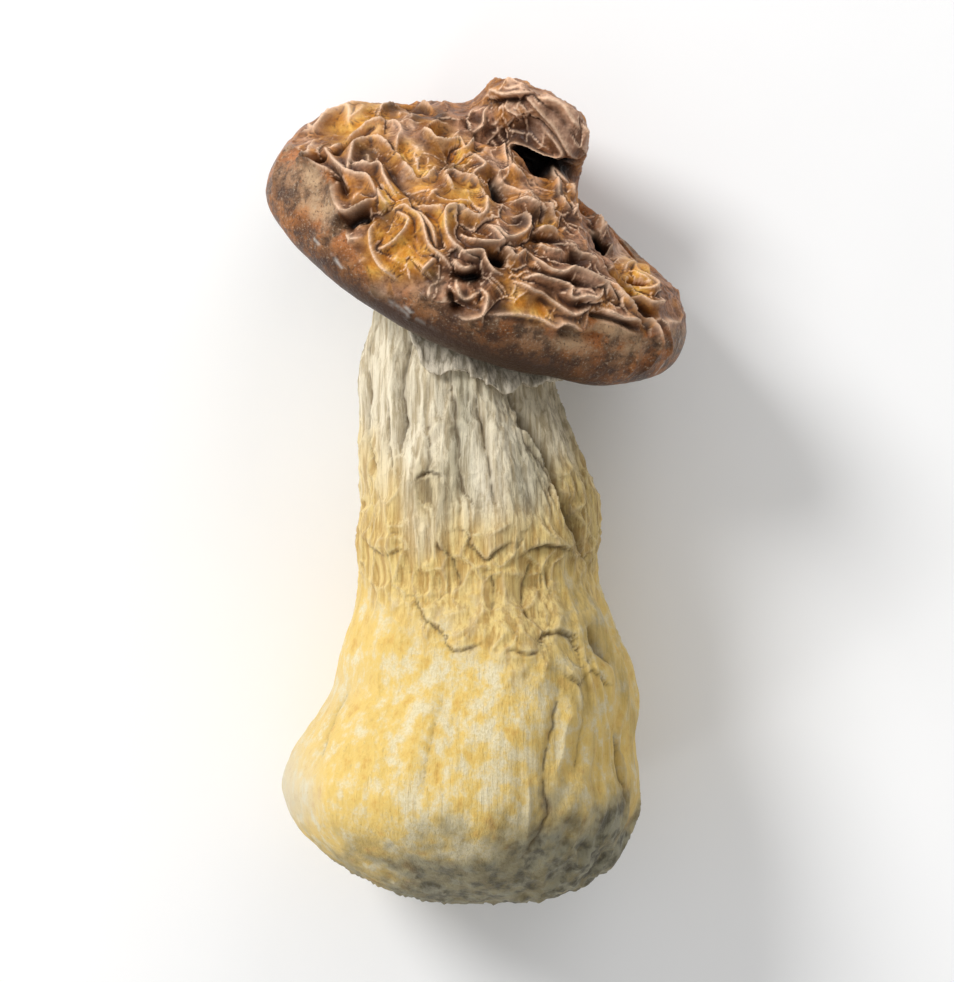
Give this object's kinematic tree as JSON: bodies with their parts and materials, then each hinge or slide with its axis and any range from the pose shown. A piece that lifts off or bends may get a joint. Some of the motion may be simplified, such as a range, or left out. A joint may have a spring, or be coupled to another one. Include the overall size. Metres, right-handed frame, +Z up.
{
  "type": "dried mushroom",
  "caption": "Whole dried mushroom lying on its side: crumpled brown cap, gills, torn veil and a pale stem that swells into a wide bulb.",
  "frame": {"origin": "centre of the bounding box's base, on the surface that the mushroom lies on", "axes": "+Y along the stem from the bulb towards the cap, +Z up from the surface, +X to the right seen from above with the cap at the far end"},
  "size_m": [0.0312, 0.0606, 0.0243],
  "materials": {
    "cap_skin": "satin",
    "gill_tissue": "matte",
    "stem_flesh": "matte",
    "veil_tissue": "matte"
  },
  "bodies": {
    "root": {"cap": "cap_skin", "gills": "gill_tissue", "stem": "stem_flesh", "veil_remnant": "veil_tissue"}
  },
  "joints": []
}
